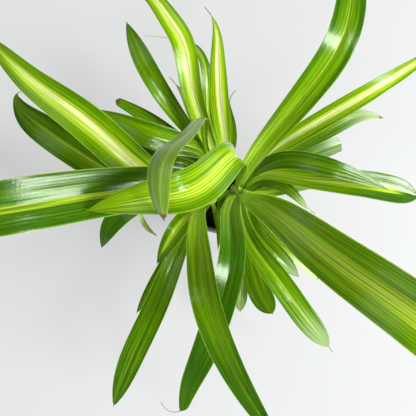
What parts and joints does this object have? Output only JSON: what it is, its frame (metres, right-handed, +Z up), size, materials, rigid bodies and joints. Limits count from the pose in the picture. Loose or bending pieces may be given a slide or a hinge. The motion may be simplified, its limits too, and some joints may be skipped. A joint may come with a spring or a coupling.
{
  "type": "potted spider plant",
  "caption": "Spider plant in a small round tapered pot: long arching striped leaves fan out on all sides from short crowns in dark soil.",
  "frame": {"origin": "centre of the pot's underside", "axes": "+Z up, +X to the right and +Y to the top of the picture, which looks straight down"},
  "size_m": [0.4185, 0.4626, 0.3216],
  "materials": {
    "pot": "unglazed buff stoneware, matt",
    "soil": "damp black potting mix, matt and crumbly",
    "crown": "pale green stem base, satin",
    "leaf": "waxy green leaf with a lighter stripe along its middle"
  },
  "bodies": {
    "root": {"pot": "pot", "soil": "soil", "crown_main": "crown", "crown_west": "crown", "crown_north": "crown", "leaf_east_dark": "leaf", "leaf_east_wide": "leaf", "leaf_east_low": "leaf", "leaf_east_twisted": "leaf", "leaf_right_cut_tip": "leaf", "leaf_right_pale_tip": "leaf", "leaf_right_upper": "leaf", "leaf_north_east": "leaf", "young_spear": "leaf", "leaf_over_left": "leaf", "leaf_south_dark": "leaf", "leaf_south_small": "leaf", "leaf_south_blunt": "leaf", "leaf_south_striped": "leaf", "leaf_low_short": "leaf", "leaf_low_yellow": "leaf", "leaf_south_east": "leaf", "leaf_far_left": "leaf", "leaf_upper_left": "leaf", "leaf_left_dark": "leaf", "leaf_left_nodding": "leaf", "leaf_left_small": "leaf", "leaf_south_west_short": "leaf", "leaf_south_west_under": "leaf", "leaf_south_west": "leaf", "leaf_south": "leaf", "leaf_south_thin": "leaf", "leaf_middle_short": "leaf", "leaf_west_low": "leaf", "leaf_west_dark": "leaf", "leaf_west_cut_tip": "leaf", "leaf_north_west_pointed": "leaf", "leaf_turned_back": "leaf", "leaf_north_pale": "leaf", "leaf_north_west": "leaf", "leaf_north_arched": "leaf", "leaf_north": "leaf", "leaf_north_narrow": "leaf"}
  },
  "joints": []
}
